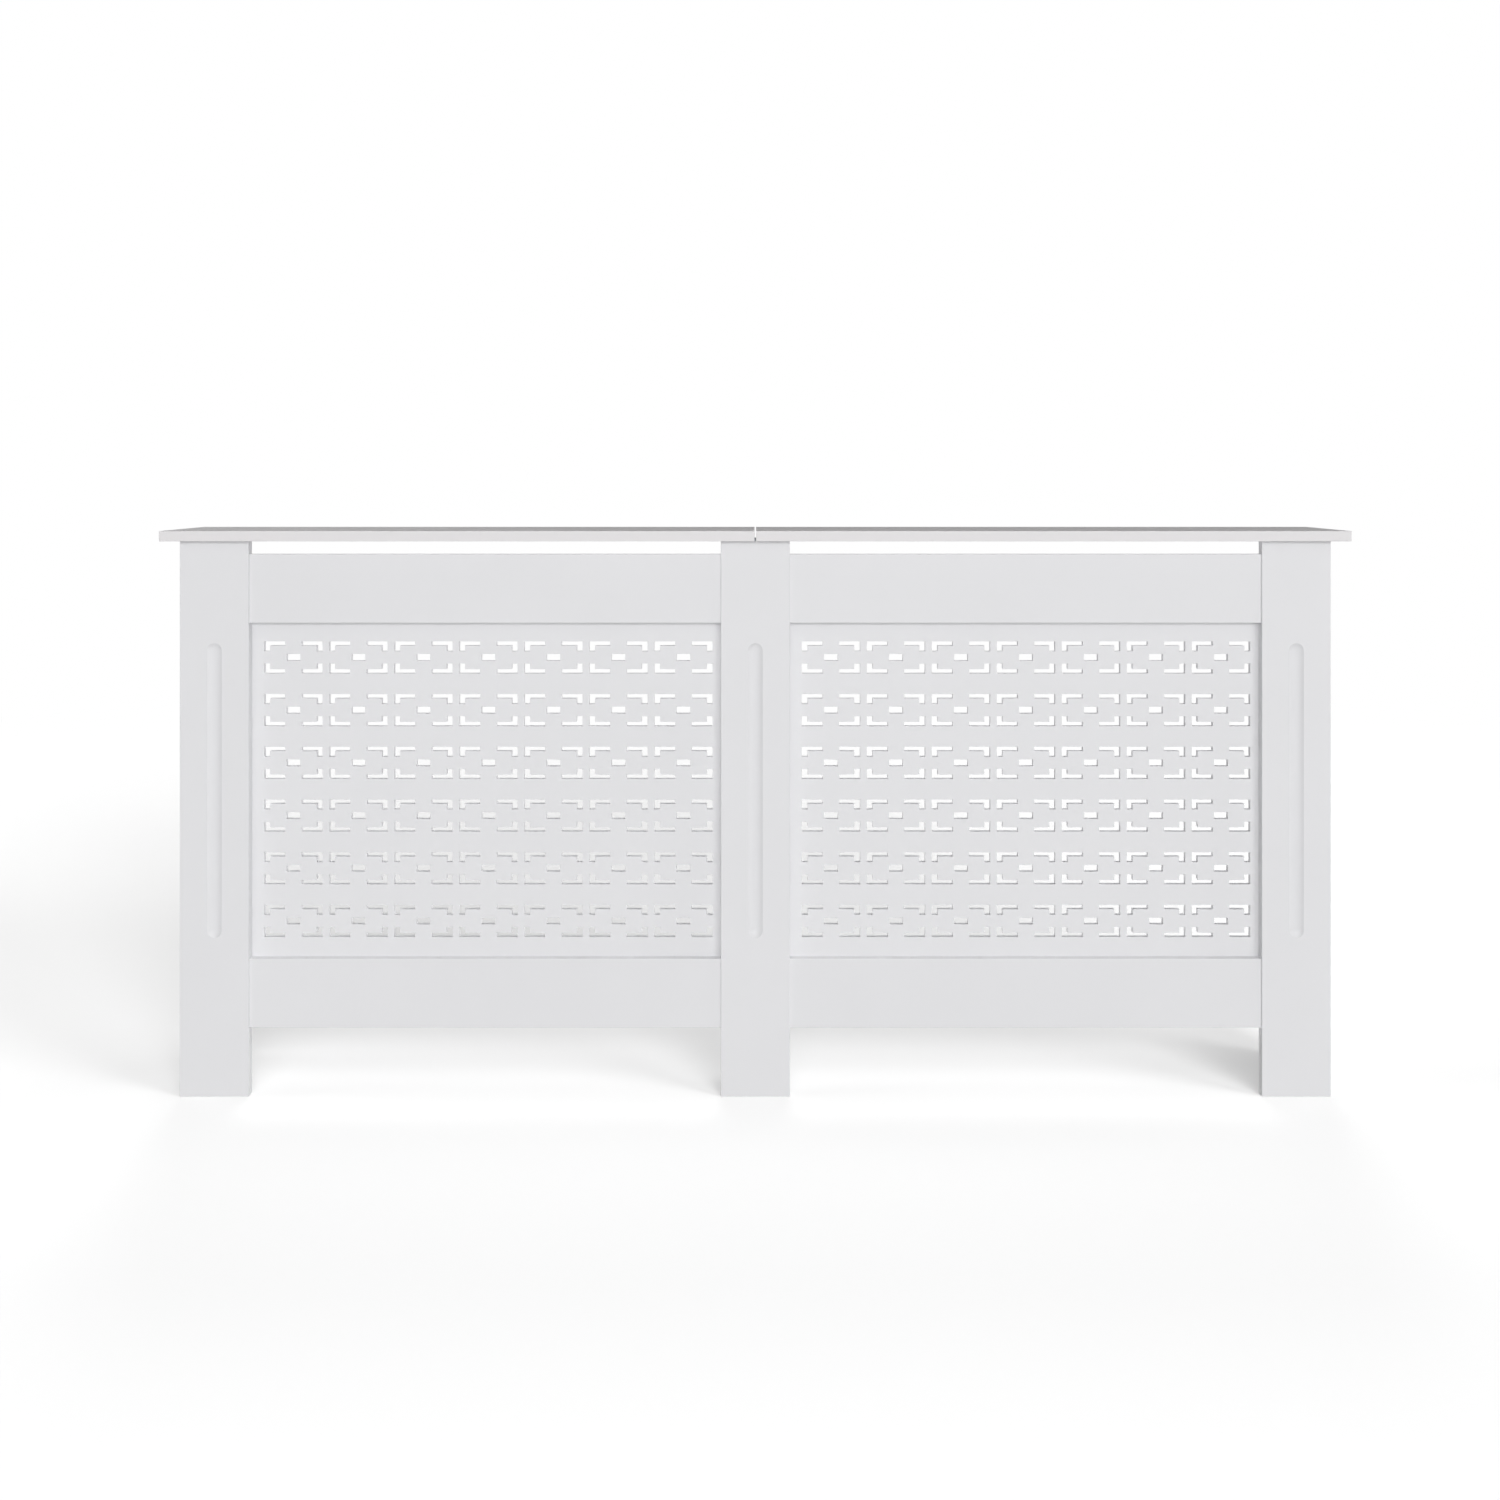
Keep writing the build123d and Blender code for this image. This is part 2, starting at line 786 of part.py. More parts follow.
def steel_angle(leg, width, thickness, bend):
    """A bent angle without its holes. Its outer corner is at the origin, one leg lies under the
    top board towards +Y and the other hangs down."""
    with BuildPart() as angle:
        with BuildSketch(Plane.YZ):
            with BuildLine():
                Polyline(
                    (0, 0),
                    (leg, 0),
                    (leg, -thickness),
                    (thickness, -thickness),
                    (thickness, -leg),
                    (0, -leg),
                    close=True,
                )
            make_face()
        extrude(amount=width / 2, both=True)
        inner_corner = (0, thickness, -thickness)
        for corner, radius in (((0, 0, 0), bend + thickness), (inner_corner, bend)):
            along_bend = angle.edges().filter_by(Axis.X)
            fillet(along_bend.sort_by_distance(corner)[0], radius)
        corners = angle.edges().filter_by(Axis.Z).group_by(Axis.Y)[-1]
        corners += angle.edges().filter_by(Axis.Y).group_by(Axis.Z)[0]
        fillet(corners, angle_corner)
    return angle.part


def post_angle(side):
    """The angle that ties the centre post's head to one top board."""
    shape = steel_angle(
        post_angle_leg, post_angle_width, post_angle_thickness, post_angle_bend
    )
    x = side * post_angle_spacing / 2
    hole_radius = screw_diameter / 2 + plate_hole_clearance
    with BuildPart() as angle:
        with Locations((x, post_back_y, body_height)):
            add(shape)
        for points, outward in (
            (post_angle_top_points(), up),
            (post_angle_post_points(), forward),
        ):
            own = [point for point in points if point[0] * side > 0]
            with facing(own, outward):
                Hole(radius=hole_radius, depth=2 * post_angle_thickness)
    return angle


def wall_angle(side, place):
    """One wall angle: its hanging leg is flush with the back of the cover."""
    shape = steel_angle(
        wall_angle_leg, wall_angle_width, wall_angle_thickness, wall_angle_bend
    )
    x = wall_angle_places(side)[place]
    with BuildPart() as angle:
        with Locations(Location((x, wall_y, body_height), (0, 0, 180))):
            add(shape)
        screw_points = [point for point in wall_angle_points(side) if point[0] == x]
        with facing(screw_points, up):
            Hole(
                radius=screw_diameter / 2 + plate_hole_clearance,
                depth=2 * wall_angle_thickness,
            )
        with facing([(x, wall_y, body_height - wall_hole_drop)], back):
            Hole(radius=wall_hole_diameter / 2, depth=2 * wall_angle_thickness)
    return angle


def under_plates(points, thickness):
    """The points moved down from the boards to the lower faces of the steel under them."""
    return [(x, y, z - thickness) for x, y, z in points]


def joint_plate_screws():
    """The screws of both joint plates."""
    points = joint_plate_points(front_plate_y) + joint_plate_points(rear_plate_y)
    screw = pan_head_screw(bracket_screw_length)
    return placed(screw, [(under_plates(points, joint_plate_thickness), down)])


def post_angle_screws():
    """The screws of the centre post's angles."""
    on_post = [(x, y + post_angle_thickness, z) for x, y, z in post_angle_post_points()]
    on_top = under_plates(post_angle_top_points(), post_angle_thickness)
    screw = pan_head_screw(bracket_screw_length)
    return placed(screw, [(on_top, down), (on_post, back)])


def wall_angle_screws(side):
    """The screws that hold one top board's wall angles to it."""
    points = under_plates(wall_angle_points(side), wall_angle_thickness)
    return placed(pan_head_screw(bracket_screw_length), [(points, down)])


# ---------------------------------------------------------------------------------------------
# The cover, piece by piece.

os.makedirs("parts", exist_ok=True)

for name, side in {"left": -1, "centre": 0, "right": 1}.items():
    save(front_post(side), f"front_post_{name}")

for name, side in sides.items():
    save(top_board(side), f"top_board_{name}")
    save(end_panel(side), f"end_panel_{name}")
    save(grille_panel(side), f"grille_panel_{name}")
    for level, middle_z in rail_middles.items():
        save(rail(side, middle_z, rail_heights[level]), f"{level}_rail_{name}")
    save(rail_dowels(side), f"rail_dowels_{name}")
    save(end_panel_dowels(side), f"end_panel_dowels_{name}")
    save(cam_locks(side), f"cam_locks_{name}")
    save(cam_bolts(side), f"cam_bolts_{name}")
    save(grille_screws(side), f"grille_screws_{name}")
    save(post_angle(side), f"post_angle_{name}")
    for place in wall_angle_places(side):
        save(wall_angle(side, place), f"wall_angle_{place}_{name}")
    save(wall_angle_screws(side), f"wall_angle_screws_{name}")

save(post_head_dowels(), "post_head_dowels")
save(joint_plate(front_plate_y), "joint_plate_front")
save(joint_plate(rear_plate_y), "joint_plate_rear")
save(joint_plate_screws(), "joint_plate_screws")
save(post_angle_screws(), "post_angle_screws")
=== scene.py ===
import json
import math

import bpy
from mathutils import Matrix, Vector


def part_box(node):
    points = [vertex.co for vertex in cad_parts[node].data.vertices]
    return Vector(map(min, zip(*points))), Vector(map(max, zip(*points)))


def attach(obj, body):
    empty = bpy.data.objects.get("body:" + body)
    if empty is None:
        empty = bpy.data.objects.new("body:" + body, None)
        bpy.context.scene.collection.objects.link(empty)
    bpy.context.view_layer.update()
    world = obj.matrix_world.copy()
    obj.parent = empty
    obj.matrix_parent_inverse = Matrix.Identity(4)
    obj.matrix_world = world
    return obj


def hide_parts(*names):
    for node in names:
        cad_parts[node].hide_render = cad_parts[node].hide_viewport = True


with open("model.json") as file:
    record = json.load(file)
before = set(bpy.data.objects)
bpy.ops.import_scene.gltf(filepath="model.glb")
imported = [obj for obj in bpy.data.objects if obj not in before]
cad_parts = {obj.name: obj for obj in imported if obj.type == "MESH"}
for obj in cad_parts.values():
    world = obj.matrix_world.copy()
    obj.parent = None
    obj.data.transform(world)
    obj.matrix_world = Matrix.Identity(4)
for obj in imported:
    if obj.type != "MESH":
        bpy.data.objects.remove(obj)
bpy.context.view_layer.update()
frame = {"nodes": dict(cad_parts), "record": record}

# The looks of a white radiator cover cabinet, round its packed construction: sprayed MDF boards,
# two perforated grille boards, and the beech, zinc and steel fittings behind them.
# Lengths are in metres. The origin is on the floor at the middle of the cover, -Y is to the
# front and +Z is up.

bpy.ops.object.select_all(action="DESELECT")

MM = 0.001
SIDES = ("left", "right")

# ---------------------------------------------------------------------------------------------
# Camera: level, with its image shifted down, so that uprights stay parallel.

PHOTO_SIDE = 1500.0
FOCAL_LENGTH_PIXELS = 1614.0
HORIZON_PIXEL_Y = 476.2
MIDDLE_PIXEL_X = 755.3
SENSOR_WIDTH = 36.0
CAMERA_HEIGHT = 0.899
CAMERA_TO_SHELF = 2.3265


def add_camera():
    """The camera, straight in front of the cover and a little above its shelf."""
    shelf_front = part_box("top_board_left")[0].y
    bpy.ops.object.camera_add(
        location=(0, shelf_front - CAMERA_TO_SHELF, CAMERA_HEIGHT),
        rotation=(math.radians(90), 0, 0),
    )
    camera = bpy.context.object
    camera.name = "camera"
    camera.data.sensor_width = SENSOR_WIDTH
    camera.data.lens = SENSOR_WIDTH * FOCAL_LENGTH_PIXELS / PHOTO_SIDE
    camera.data.shift_x = (PHOTO_SIDE / 2 - MIDDLE_PIXEL_X) / PHOTO_SIDE
    camera.data.shift_y = (HORIZON_PIXEL_Y - PHOTO_SIDE / 2) / PHOTO_SIDE
    bpy.context.scene.camera = camera


add_camera()

# ---------------------------------------------------------------------------------------------
# Material helpers. A Mix node takes numbers at its inputs 2 and 3 and gives their mix at its
# output 0, and takes colours at 6 and 7 and gives theirs at 2.

WHITE = "#FFFFFF"
NUMBERED_INPUT = "input_"
# Noise seldom leaves this range, so it is stretched from here to the ends that are asked for.
NOISE_LOW = 0.3
NOISE_HIGH = 0.7


def linear(hex_colour):
    """A colour given as sRGB hex, as linear red, green, blue and alpha."""
    shares = [int(hex_colour[start : start + 2], 16) / 255 for start in (1, 3, 5)]
    values = [
        share / 12.92 if share <= 0.04045 else ((share + 0.055) / 1.055) ** 2.4
        for share in shares
    ]
    return (*values, 1.0)


def add_node(tree, kind, settings=None, **inputs):
    """Adds a node. Its inputs are values, or the output sockets that feed them.

    An input is named as in Blender, with _ for a space, or as input_0, input_1 and so on where
    the node has several of one name.
    """
    node = tree.nodes.new(kind)
    for name, value in (settings or {}).items():
        setattr(node, name, value)
    for name, value in inputs.items():
        if name.startswith(NUMBERED_INPUT):
            socket = node.inputs[int(name.removeprefix(NUMBERED_INPUT))]
        else:
            socket = node.inputs[name.replace("_", " ")]
        if isinstance(value, bpy.types.NodeSocket):
            tree.links.new(value, socket)
        else:
            socket.default_value = value
    return node


def new_material(name, **shader_inputs):
    """A material with its shader and output. Inputs that are the same all over are given here."""
    material = bpy.data.materials.new(name)
    material.use_nodes = True
    tree = material.node_tree
    tree.nodes.clear()
    shader = add_node(tree, "ShaderNodeBsdfPrincipled", **shader_inputs)
    add_node(tree, "ShaderNodeOutputMaterial", Surface=shader.outputs["BSDF"])
    return material, tree, shader


def per_metre(feature_size):
    """The texture scale at which one feature has this size, in metres."""
    return 1 / feature_size


def noise_between(tree, vector, feature_size, low, high, detail=2.0):
    """Soft noise whose features have this size, as a number that runs from low to high."""
    noise = add_node(
        tree,
        "ShaderNodeTexNoise",
        Vector=vector,
        Scale=per_metre(feature_size),
        Detail=detail,
    )
    spread = add_node(
        tree,
        "ShaderNodeMapRange",
        Value=noise.outputs["Fac"],
        From_Min=NOISE_LOW,
        From_Max=NOISE_HIGH,
        To_Min=low,
        To_Max=high,
    )
    return spread.outputs["Result"]


# ---------------------------------------------------------------------------------------------
# Paint. MDF is sprayed with a white primer and a satin lacquer.

# Each finish has three whites: of a face, of a cloud of spray on it, and of a cut edge. The
# grilles' cut edges are the whitest: a painted highlight that lightens the walls of their
# cut-outs.
FRONT_WHITE = ("#EEEEF0", "#ECECEE", "#E9E9EB")
GRILLE_WHITE_WITH_PAINTED_HIGHLIGHT = ("#EFEFF1", "#EDEDEF", "#F2F2F4")
SHELF_WHITE = ("#F1EFF0", "#EFEDEE", "#EDEBEC")
LACQUER_IOR = 1.5
FACE_ROUGHNESS = 0.35
EDGE_ROUGHNESS = 0.45
ROUGHNESS_DRIFT = 0.03
SPRAY_CLOUD = 160 * MM
ORANGE_PEEL_CELL = 3.5 * MM
ORANGE_PEEL_HEIGHT = 0.007 * MM
EDGE_FIBRE = 0.9 * MM
EDGE_FIBRE_HEIGHT = 0.03 * MM
# A surface is a broad face or a cut edge by how squarely it faces along the board's thickness.
SQUARE_TO_FACE = 0.9
SQUARE_TO_EDGE = 0.6


def sprayed_mdf(name, thickness_axis, whites):
    """Satin lacquer sprayed on an MDF board that is cut across this axis.

    A flat white: cool on the front and the grilles, and a touch warmer on the shelf boards,
    which come from another spraying. The broad faces have a satin sheen with the faint ripple
    of orange peel, and the gun leaves soft clouds in it. Sawn edges drink the lacquer, so they
    are duller and most are a shade greyer, with a fine stipple of fibres. On the grilles the cut
    edges are a lighter white instead: a painted highlight on the walls of the cut-outs. Real
    fibres are 0.1 mm wide and would not show, so they are drawn about ten times as coarse.
    """
    face_white, cloud_white, edge_tone_and_painted_highlight = whites
    material, tree, shader = new_material(name, IOR=LACQUER_IOR)
    place = add_node(tree, "ShaderNodeTexCoord")
    where = place.outputs["Object"]

    facing = add_node(tree, "ShaderNodeSeparateXYZ", Vector=place.outputs["Normal"])
    along = add_node(
        tree,
        "ShaderNodeMath",
        {"operation": "ABSOLUTE"},
        Value=facing.outputs[thickness_axis],
    )
    edge = add_node(
        tree,
        "ShaderNodeMapRange",
        Value=along.outputs["Value"],
        From_Min=SQUARE_TO_FACE,
        From_Max=SQUARE_TO_EDGE,
        To_Min=0.0,
        To_Max=1.0,
    ).outputs["Result"]

    cloud = noise_between(tree, where, SPRAY_CLOUD, 0.0, 1.0)
    face_colour = add_node(
        tree,
        "ShaderNodeMix",
        {"data_type": "RGBA"},
        Factor=cloud,
        input_6=linear(face_white),
        input_7=linear(cloud_white),
    )
    # On the grilles the edge white is a painted highlight, lighter than the face, on the walls of
    # the cut-outs.
    colour = add_node(
        tree,
        "ShaderNodeMix",
        {"data_type": "RGBA"},
        Factor=edge,
        input_6=face_colour.outputs[2],
        input_7=linear(edge_tone_and_painted_highlight),
    )
    tree.links.new(colour.outputs[2], shader.inputs["Base Color"])

    drift = noise_between(
        tree,
        where,
        SPRAY_CLOUD,
        FACE_ROUGHNESS - ROUGHNESS_DRIFT,
        FACE_ROUGHNESS + ROUGHNESS_DRIFT,
        detail=5.0,
    )
    roughness = add_node(
        tree, "ShaderNodeMix", Factor=edge, input_2=drift, input_3=EDGE_ROUGHNESS
    )
    tree.links.new(roughness.outputs[0], shader.inputs["Roughness"])

    peel = noise_between(tree, where, ORANGE_PEEL_CELL, 0.0, ORANGE_PEEL_HEIGHT)
    fibres = noise_between(tree, where, EDGE_FIBRE, 0.0, EDGE_FIBRE_HEIGHT, detail=4.0)
    height = add_node(tree, "ShaderNodeMix", Factor=edge, input_2=peel, input_3=fibres)
    relief = add_node(tree, "ShaderNodeBump", Height=height.outputs[0], Distance=1.0)
    tree.links.new(relief.outputs["Normal"], shader.inputs["Normal"])
    return material


# ---------------------------------------------------------------------------------------------
# Wood and metal of the fittings.

AXES = "XYZ"

BEECH_LIGHT = "#D2AB7E"
BEECH_DARK = "#B98C5D"
BEECH_FLECK = "#8F6238"
BEECH_IOR = 1.5
BEECH_ROUGHNESS = 0.62
BEECH_STREAK_WIDTH = 0.8 * MM
BEECH_STREAK_HEIGHT = 0.05 * MM
BEECH_FLECK_WIDTH = 0.35 * MM
FLECK_CORE = 0.12
FLECK_RIM = 0.25
FLECK_STRENGTH = 0.7
GRAIN_STRETCH = 12.0

# Each metal has the two ends of its tone and of its roughness, and the size and the height of
# its grain.
CAST_ZINC = ("#A4A6A8", "#8E9093")
CAST_ZINC_ROUGHNESS = (0.38, 0.5)
CAST_GRAIN = 0.6 * MM
CAST_GRAIN_HEIGHT = 0.02 * MM
BRIGHT_ZINC = ("#D0D4D9", "#BBC1C9")
BRIGHT_ZINC_ROUGHNESS = (0.28, 0.4)
PLATING_CLOUD = 2.5 * MM
PLATING_CLOUD_HEIGHT = 0.005 * MM
PRESSED_ZINC = ("#CDD1D5", "#BFC4C9")
PRESSED_ZINC_ROUGHNESS = (0.4, 0.52)
ROLLING_LINE = 0.5 * MM
ROLLING_LINE_HEIGHT = 0.003 * MM
ROLLING_STRETCH = 30.0
# Gloss drifts more slowly than tone, by this many times.
GLOSS_STRETCH = 3.0


def beech(name, grain_axis):
    """Turned beech with its grain along this axis.

    A pale pinkish brown in fine streaks, with the short dark flecks of its rays. It is bare and
    nearly matt.
    """
    material, tree, shader = new_material(name, Roughness=BEECH_ROUGHNESS, IOR=BEECH_IOR)
    place = add_node(tree, "ShaderNodeTexCoord")
    squeeze = [1 / GRAIN_STRETCH if axis == grain_axis else 1.0 for axis in AXES]
    grain = add_node(
        tree, "ShaderNodeMapping", Vector=place.outputs["Object"], Scale=squeeze
    ).outputs["Vector"]
    streaks = noise_between(tree, grain, BEECH_STREAK_WIDTH, 0.0, 1.0, detail=4.0)
    flecks = add_node(
        tree, "ShaderNodeTexVoronoi", Vector=grain, Scale=per_metre(2 * BEECH_FLECK_WIDTH)
    )
    fleck_mask = add_node(
        tree,
        "ShaderNodeMapRange",
        Value=flecks.outputs["Distance"],
        From_Min=FLECK_RIM,
        From_Max=FLECK_CORE,
        To_Min=0.0,
        To_Max=FLECK_STRENGTH,
    )
    wood = add_node(
        tree,
        "ShaderNodeMix",
        {"data_type": "RGBA"},
        Factor=streaks,
        input_6=linear(BEECH_LIGHT),
        input_7=linear(BEECH_DARK),
    )
    flecked = add_node(
        tree,
        "ShaderNodeMix",
        {"data_type": "RGBA"},
        Factor=fleck_mask.outputs["Result"],
        input_6=wood.outputs[2],
        input_7=linear(BEECH_FLECK),
    )
    tree.links.new(flecked.outputs[2], shader.inputs["Base Color"])
    relief = add_node(tree, "ShaderNodeBump", Height=streaks, Distance=BEECH_STREAK_HEIGHT)
    tree.links.new(relief.outputs["Normal"], shader.inputs["Normal"])
    return material


def metal(name, tones, roughness, grain, grain_height, squeeze=(1, 1, 1)):
    """A plated metal whose tone and gloss vary over a grain of this size."""
    material, tree, shader = new_material(name, Metallic=1.0)
    place = add_node(tree, "ShaderNodeTexCoord")
    stretched = add_node(
        tree, "ShaderNodeMapping", Vector=place.outputs["Object"], Scale=squeeze
    ).outputs["Vector"]
    tone = noise_between(tree, stretched, grain, 0.0, 1.0, detail=4.0)
    colour = add_node(
        tree,
        "ShaderNodeMix",
        {"data_type": "RGBA"},
        Factor=tone,
        input_6=linear(tones[0]),
        input_7=linear(tones[1]),
    )
    tree.links.new(colour.outputs[2], shader.inputs["Base Color"])
    gloss = noise_between(tree, stretched, GLOSS_STRETCH * grain, *roughness)
    tree.links.new(gloss, shader.inputs["Roughness"])
    relief = add_node(tree, "ShaderNodeBump", Height=tone, Distance=grain_height)
    tree.links.new(relief.outputs["Normal"], shader.inputs["Normal"])
    return material


def die_cast_zinc():
    """Tumbled die-cast zinc with dull nickel on it: a soft grey that hardly reflects."""
    return metal(
        "nickel_plated_die_cast_zinc",
        CAST_ZINC,
        CAST_ZINC_ROUGHNESS,
        CAST_GRAIN,
        CAST_GRAIN_HEIGHT,
    )


def bright_zinc():
    """Bright zinc plating on turned and rolled steel: a bluish shine with cloudy patches."""
    return metal(
        "bright_zinc_plated_screw_steel",
        BRIGHT_ZINC,
        BRIGHT_ZINC_ROUGHNESS,
        PLATING_CLOUD,
        PLATING_CLOUD_HEIGHT,
    )


def pressed_steel():
    """Zinc-plated strip, pressed to shape: satin, with the fine lines of the rolls along it.

    The lines are drawn a few times as wide as real ones, so that they show.
    """
    return metal(
        "zinc_plated_pressed_steel",
        PRESSED_ZINC,
        PRESSED_ZINC_ROUGHNESS,
        ROLLING_LINE,
        ROLLING_LINE_HEIGHT,
        squeeze=(1 / ROLLING_STRETCH, 1, 1),
    )


# ---------------------------------------------------------------------------------------------
# Modelling helpers.

# Points nearer than this count as one.
SAME_PLACE = 0.01 * MM


def choose(piece, part, test):
    """Selects, in edit mode, the faces whose middle or the edges whose ends pass the test."""
    bpy.ops.object.mode_set(mode="EDIT")
    bpy.ops.mesh.select_mode(type=part)
    bpy.ops.mesh.select_all(action="DESELECT")
    bpy.ops.object.mode_set(mode="OBJECT")
    mesh = piece.data
    if part == "FACE":
        for face in mesh.polygons:
            face.select = test(face.center)
    else:
        for edge in mesh.edges:
            start, end = (mesh.vertices[corner].co for corner in edge.vertices)
            edge.select = test(start) and test(end)
    bpy.ops.object.mode_set(mode="EDIT")


def apply_modifier(piece, kind, **settings):
    """Adds a modifier with these settings and applies it."""
    modifier = piece.modifiers.new(kind.lower(), kind)
    for name, value in settings.items():
        setattr(modifier, name, value)
    bpy.ops.object.modifier_apply(modifier=modifier.name)


def copy_of(piece, name, offset):
    """A copy of a piece with its own mesh, moved by the offset."""
    copy = piece.copy()
    copy.data = piece.data.copy()
    copy.data.transform(Matrix.Translation(offset))
    copy.name = name
    bpy.context.collection.objects.link(copy)
    return copy


# ---------------------------------------------------------------------------------------------
# Grille boards: thin MDF, routed right through with rows of a small pattern. Each unit of it is
# four L-shaped cut-outs with their corners outwards, round a short bar.

UNIT_WIDTH = 85.0 * MM
UNIT_HEIGHT = 46.7 * MM
UNIT_GAP_X = 9.8 * MM
UNIT_GAP_Z = 30.2 * MM
ARM_LENGTH = 30.5 * MM
ARM_HEIGHT = 6.2 * MM
LEG_WIDTH = 8.4 * MM
LEG_HEIGHT = 14.4 * MM
BAR_WIDTH = 20.0 * MM
BAR_HEIGHT = 9.8 * MM
UNITS_ACROSS = 7
UNITS_UP = 6
CELL_WIDTH = UNIT_WIDTH + UNIT_GAP_X
CELL_HEIGHT = UNIT_HEIGHT + UNIT_GAP_Z
# The pattern sits a little to the right of the board's middle.
PATTERN_SHIFT = 2.75 * MM

# Edges sharper than one angle are rubbed soft, and those flatter than the other shade smoothly.
CUT_ARRIS = 0.4 * MM
CUT_ARRIS_STEPS = 2
SHARP_ABOVE = math.radians(60)
SMOOTH_BELOW = math.radians(50)

# Screws through the board's margin, and the seat of each countersunk head.
SCREW_INSET = 10.0 * MM
SCREW_CORNER_DISTANCE = 60.0 * MM
SCREWS_ALONG = 4
SCREWS_UP = 3
SEAT_RADIUS = 3.55 * MM
SEAT_RIM = 0.4 * MM
SEAT_DEPTH = 2.3 * MM
SCREW_HOLE_RADIUS = 2.1 * MM
HOLE_SIDES = 32
# A seat's cutter stands this far out of the board at both ends.
CUTTER_OVERSHOOT = 0.4 * MM


def is_cut_out(middle):
    """Whether a face of one cell of the pattern lies in a cut-out."""
    x, z = abs(middle.x), abs(middle.z)
    outer_x, outer_z = UNIT_WIDTH / 2, UNIT_HEIGHT / 2
    if x > outer_x or z > outer_z:
        return False
    in_bar = x < BAR_WIDTH / 2 and z < BAR_HEIGHT / 2
    in_arm = x > outer_x - ARM_LENGTH and z > outer_z - ARM_HEIGHT
    in_leg = x > outer_x - LEG_WIDTH and z > outer_z - LEG_HEIGHT
    return in_bar or in_arm or in_leg


def add_pattern_cell():
    """One cell of the pattern as a flat sheet, scored at each cut-out's sides and then cut."""
    bpy.ops.mesh.primitive_plane_add(size=1, rotation=(math.radians(90), 0, 0))
    cell = bpy.context.object
    cell.scale = (CELL_WIDTH, CELL_HEIGHT, 1)
    bpy.ops.object.transform_apply()

    half_width, half_height = UNIT_WIDTH / 2, UNIT_HEIGHT / 2
    scores_x = (half_width, half_width - LEG_WIDTH, half_width - ARM_LENGTH, BAR_WIDTH / 2)
    scores_z = (half_height, half_height - ARM_HEIGHT, half_height - LEG_HEIGHT, BAR_HEIGHT / 2)
    scores = [(Vector((x, 0, 0)), Vector((1, 0, 0))) for x in scores_x]
    scores += [(Vector((0, 0, z)), Vector((0, 0, 1))) for z in scores_z]
    bpy.ops.object.mode_set(mode="EDIT")
    for place, direction in scores:
        for side in (-1, 1):
            bpy.ops.mesh.select_all(action="SELECT")
            bpy.ops.mesh.bisect(plane_co=side * place, plane_no=direction)
    choose(cell, "FACE", is_cut_out)
    bpy.ops.mesh.delete(type="FACE")
    bpy.ops.object.mode_set(mode="OBJECT")
    return cell


def repeat_cell(cell, middle):
    """Moves the cell to the lower left of the pattern and repeats it to the right and upwards."""
    cell.location = (
        middle.x + PATTERN_SHIFT - CELL_WIDTH * (UNITS_ACROSS - 1) / 2,
        middle.y,
        middle.z - CELL_HEIGHT * (UNITS_UP - 1) / 2,
    )
    bpy.ops.object.transform_apply()
    for count, step in (
        (UNITS_ACROSS, (CELL_WIDTH, 0, 0)),
        (UNITS_UP, (0, 0, CELL_HEIGHT)),
    ):
        apply_modifier(
            cell,
            "ARRAY",
            count=count,
            use_relative_offset=False,
            use_constant_offset=True,
            constant_offset_displace=step,
            use_merge_vertices=True,
            merge_threshold=SAME_PLACE,
        )


def grow_margin(sheet, axis, side, goal):
    """Extrudes one border of the sheet until it lies at the goal."""
    reach = max(side * vertex.co[axis] for vertex in sheet.data.vertices)
    choose(sheet, "EDGE", lambda point: side * point[axis] > reach - SAME_PLACE)
    move = [0, 0, 0]
    move[axis] = goal - side * reach
    bpy.ops.mesh.extrude_region_move(TRANSFORM_OT_translate={"value": move})
    bpy.ops.object.mode_set(mode="OBJECT")


def screw_places(lowest, highest):
    """Where the screws stand in the board's margin, as x and z."""
    places = []
    for z in (lowest.z + SCREW_INSET, highest.z - SCREW_INSET):
        start, end = lowest.x + SCREW_CORNER_DISTANCE, highest.x - SCREW_CORNER_DISTANCE
        for step in range(SCREWS_ALONG):
            places.append((start + (end - start) * step / (SCREWS_ALONG - 1), z))
    for x in (lowest.x + SCREW_INSET, highest.x - SCREW_INSET):
        start, end = lowest.z + SCREW_CORNER_DISTANCE, highest.z - SCREW_CORNER_DISTANCE
        for step in range(SCREWS_UP):
            places.append((x, start + (end - start) * step / (SCREWS_UP - 1)))
    return places


def drill_on(depth):
    """Extrudes the face that is selected towards the front."""
    bpy.ops.mesh.extrude_region_move(TRANSFORM_OT_translate={"value": (0, -depth, 0)})


def add_seat_cutter(x, z, back_y, front_y):
    """A body in the shape of one countersunk seat and its through hole, drilled from the back."""
    bpy.ops.mesh.primitive_circle_add(
        vertices=HOLE_SIDES,
        radius=SEAT_RADIUS,
        fill_type="NGON",
        location=(x, back_y + CUTTER_OVERSHOOT, z),
        rotation=(math.radians(90), 0, 0),
    )
    cutter = bpy.context.object
    bpy.ops.object.transform_apply()
    bpy.ops.object.mode_set(mode="EDIT")
    bpy.ops.mesh.select_all(action="SELECT")
    drill_on(CUTTER_OVERSHOOT + SEAT_RIM)
    drill_on(SEAT_DEPTH - SEAT_RIM)
    cone_end = back_y - SEAT_DEPTH
    narrowing = SCREW_HOLE_RADIUS / SEAT_RADIUS
    bpy.ops.transform.resize(value=(narrowing, 1, narrowing), center_override=(x, cone_end, z))
    drill_on(cone_end - front_y + CUTTER_OVERSHOOT)
    bpy.ops.mesh.select_all(action="SELECT")
    bpy.ops.mesh.normals_make_consistent(inside=False)
    bpy.ops.object.mode_set(mode="OBJECT")
    return cutter


